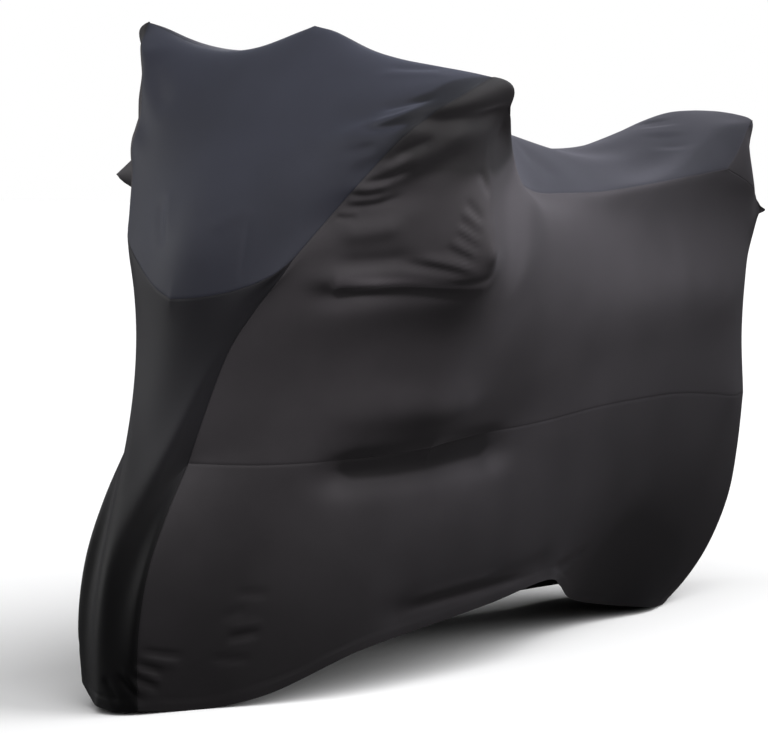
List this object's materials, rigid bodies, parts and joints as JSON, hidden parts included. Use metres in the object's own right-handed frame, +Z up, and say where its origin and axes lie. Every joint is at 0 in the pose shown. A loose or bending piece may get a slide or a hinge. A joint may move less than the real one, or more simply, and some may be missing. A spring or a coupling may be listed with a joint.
{
  "type": "motorcycle cover",
  "caption": "Fitted stretch dust cover in charcoal cloth, hollow and open below, as it hangs over a leaning sports motorcycle.",
  "frame": {"origin": "on the floor, under the middle of the cover's box", "axes": "+X towards the front of the motorcycle, +Y to its left, +Z up; the cover leans to its left"},
  "size_m": [1.8794, 0.8208, 1.1311],
  "materials": {
    "front_cloth": "matt stretch knit with a faint sheen",
    "nose_cloth": "matt stretch knit with a faint sheen",
    "saddle_cloth": "matt stretch knit with a faint sheen",
    "side_cloth": "matt stretch knit with a faint sheen"
  },
  "bodies": {
    "root": {"front_panel": "front_cloth", "nose_panel": "nose_cloth", "saddle_panel": "saddle_cloth", "tail_panel": "side_cloth", "side_upper_left": "side_cloth", "side_lower_left": "side_cloth", "side_upper_right": "side_cloth", "side_lower_right": "side_cloth"}
  },
  "joints": []
}
